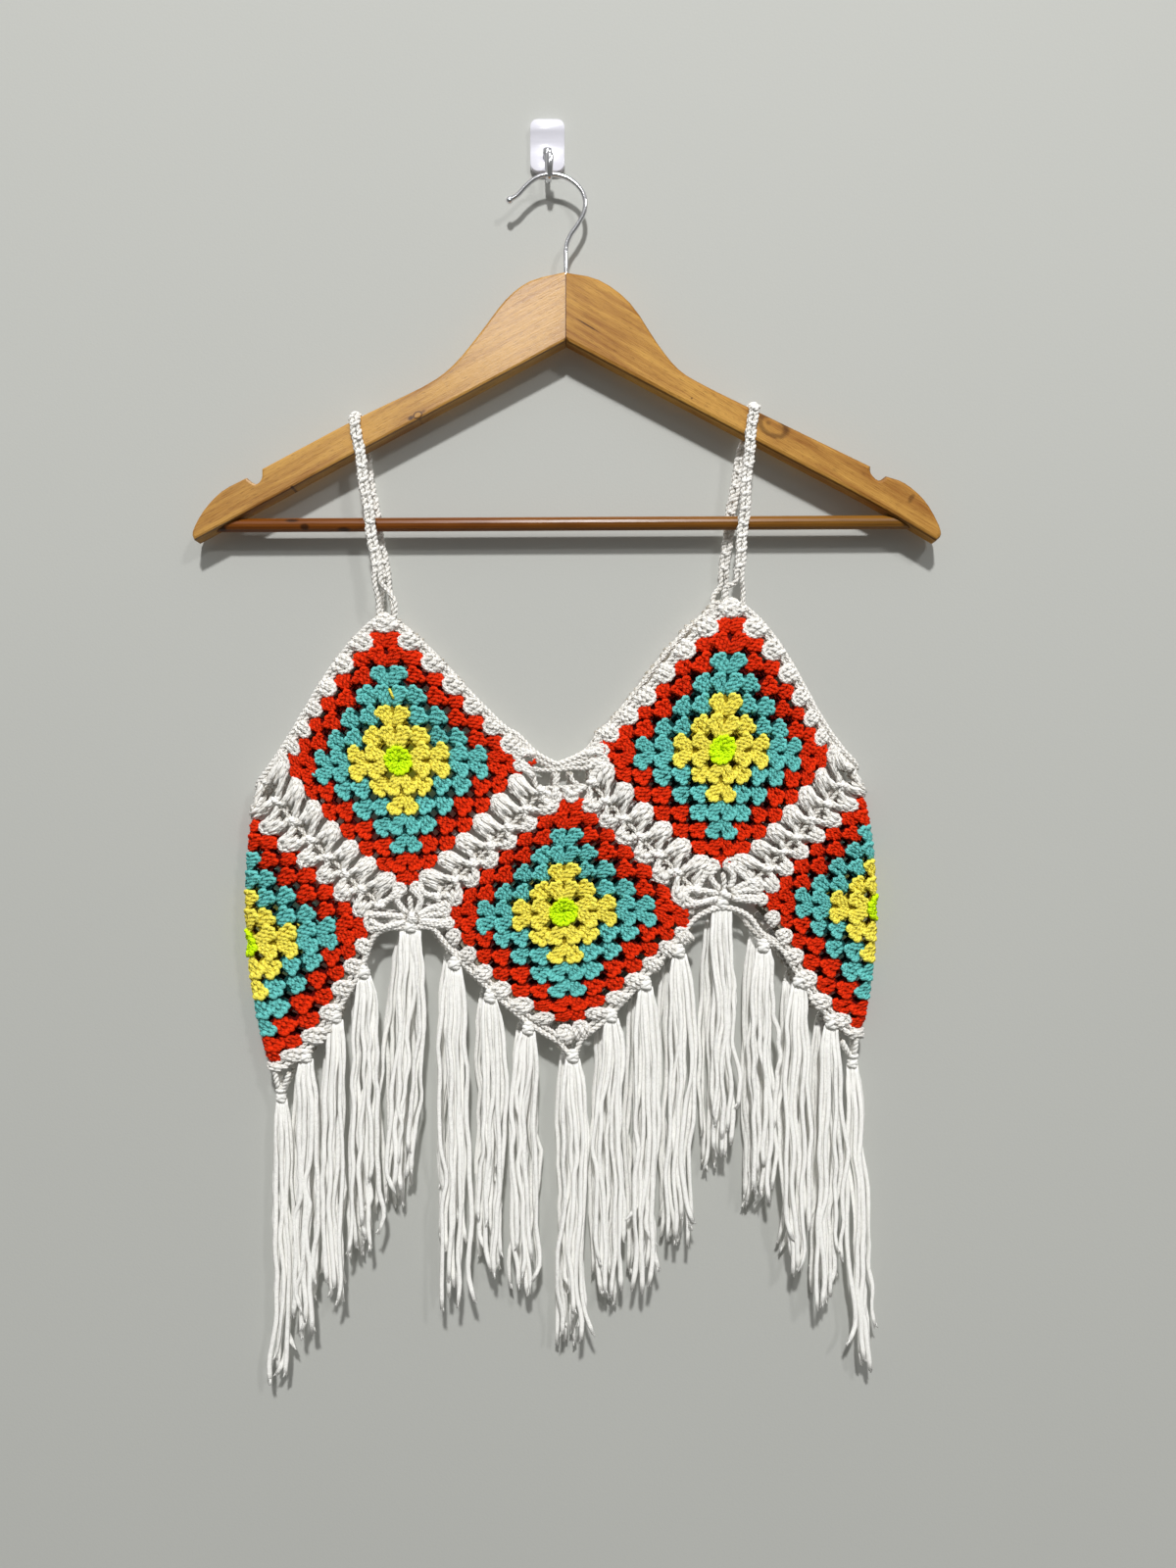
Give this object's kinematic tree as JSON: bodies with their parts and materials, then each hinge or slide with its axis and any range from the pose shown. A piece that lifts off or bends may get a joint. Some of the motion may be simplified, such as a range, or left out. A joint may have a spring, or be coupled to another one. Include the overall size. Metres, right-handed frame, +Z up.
{
  "type": "crochet top on a wooden hanger and wall hook",
  "caption": "Sleeveless cropped top of crocheted squares set on point, with thin straps and a zigzag fringed hem, hanging on a wooden hanger with a bar from a small wall hook.",
  "frame": {"origin": "centre of the wall pad's back face, on the wall", "axes": "+Z up, -Y out of the wall towards the viewer, +X to the viewer's right"},
  "size_m": [0.4442, 0.0221, 0.7588],
  "materials": {
    "square_yarn": "matt crocheted cotton yarn in rounds of lime, yellow, teal, orange-red and white",
    "white_yarn": "slightly shiny warm white cotton yarn",
    "wood": "golden brown wood, satin varnish",
    "bar_wood": "red-brown wood, glossy varnish",
    "steel": "bright plated wire",
    "clear_plastic": "translucent glossy plastic"
  },
  "bodies": {
    "root": {"square_front_left": "square_yarn", "square_front_right": "square_yarn", "square_front_centre": "square_yarn", "square_side_left": "square_yarn", "square_side_right": "square_yarn", "square_back_left": "square_yarn", "square_back_right": "square_yarn", "square_back_centre": "square_yarn", "neck_edging_front": "white_yarn", "neck_edging_back": "white_yarn", "armhole_edging_left": "white_yarn", "armhole_edging_right": "white_yarn", "hem_edging": "white_yarn", "strap_left": "white_yarn", "strap_right": "white_yarn", "tassel_front_01": "white_yarn", "tassel_front_02": "white_yarn", "tassel_front_03": "white_yarn", "tassel_front_04": "white_yarn", "tassel_front_05": "white_yarn", "tassel_front_06": "white_yarn", "tassel_front_07": "white_yarn", "tassel_front_08": "white_yarn", "tassel_front_09": "white_yarn", "tassel_front_10": "white_yarn", "tassel_front_11": "white_yarn", "tassel_front_12": "white_yarn", "tassel_front_13": "white_yarn", "tassel_front_14": "white_yarn", "tassel_front_15": "white_yarn", "tassel_back_01": "white_yarn", "tassel_back_02": "white_yarn", "tassel_back_03": "white_yarn", "tassel_back_04": "white_yarn", "tassel_back_05": "white_yarn", "tassel_back_06": "white_yarn", "tassel_back_07": "white_yarn", "tassel_back_08": "white_yarn", "tassel_back_09": "white_yarn", "tassel_back_10": "white_yarn", "tassel_back_11": "white_yarn", "tassel_back_12": "white_yarn", "tassel_back_13": "white_yarn", "tassel_back_14": "white_yarn", "tassel_back_15": "white_yarn", "tassel_corner_left": "white_yarn", "tassel_corner_right": "white_yarn", "hanger_left": "wood", "hanger_right": "wood", "hanger_bar": "bar_wood", "hanger_hook": "steel", "wall_peg": "steel", "wall_pad": "clear_plastic"}
  },
  "joints": []
}
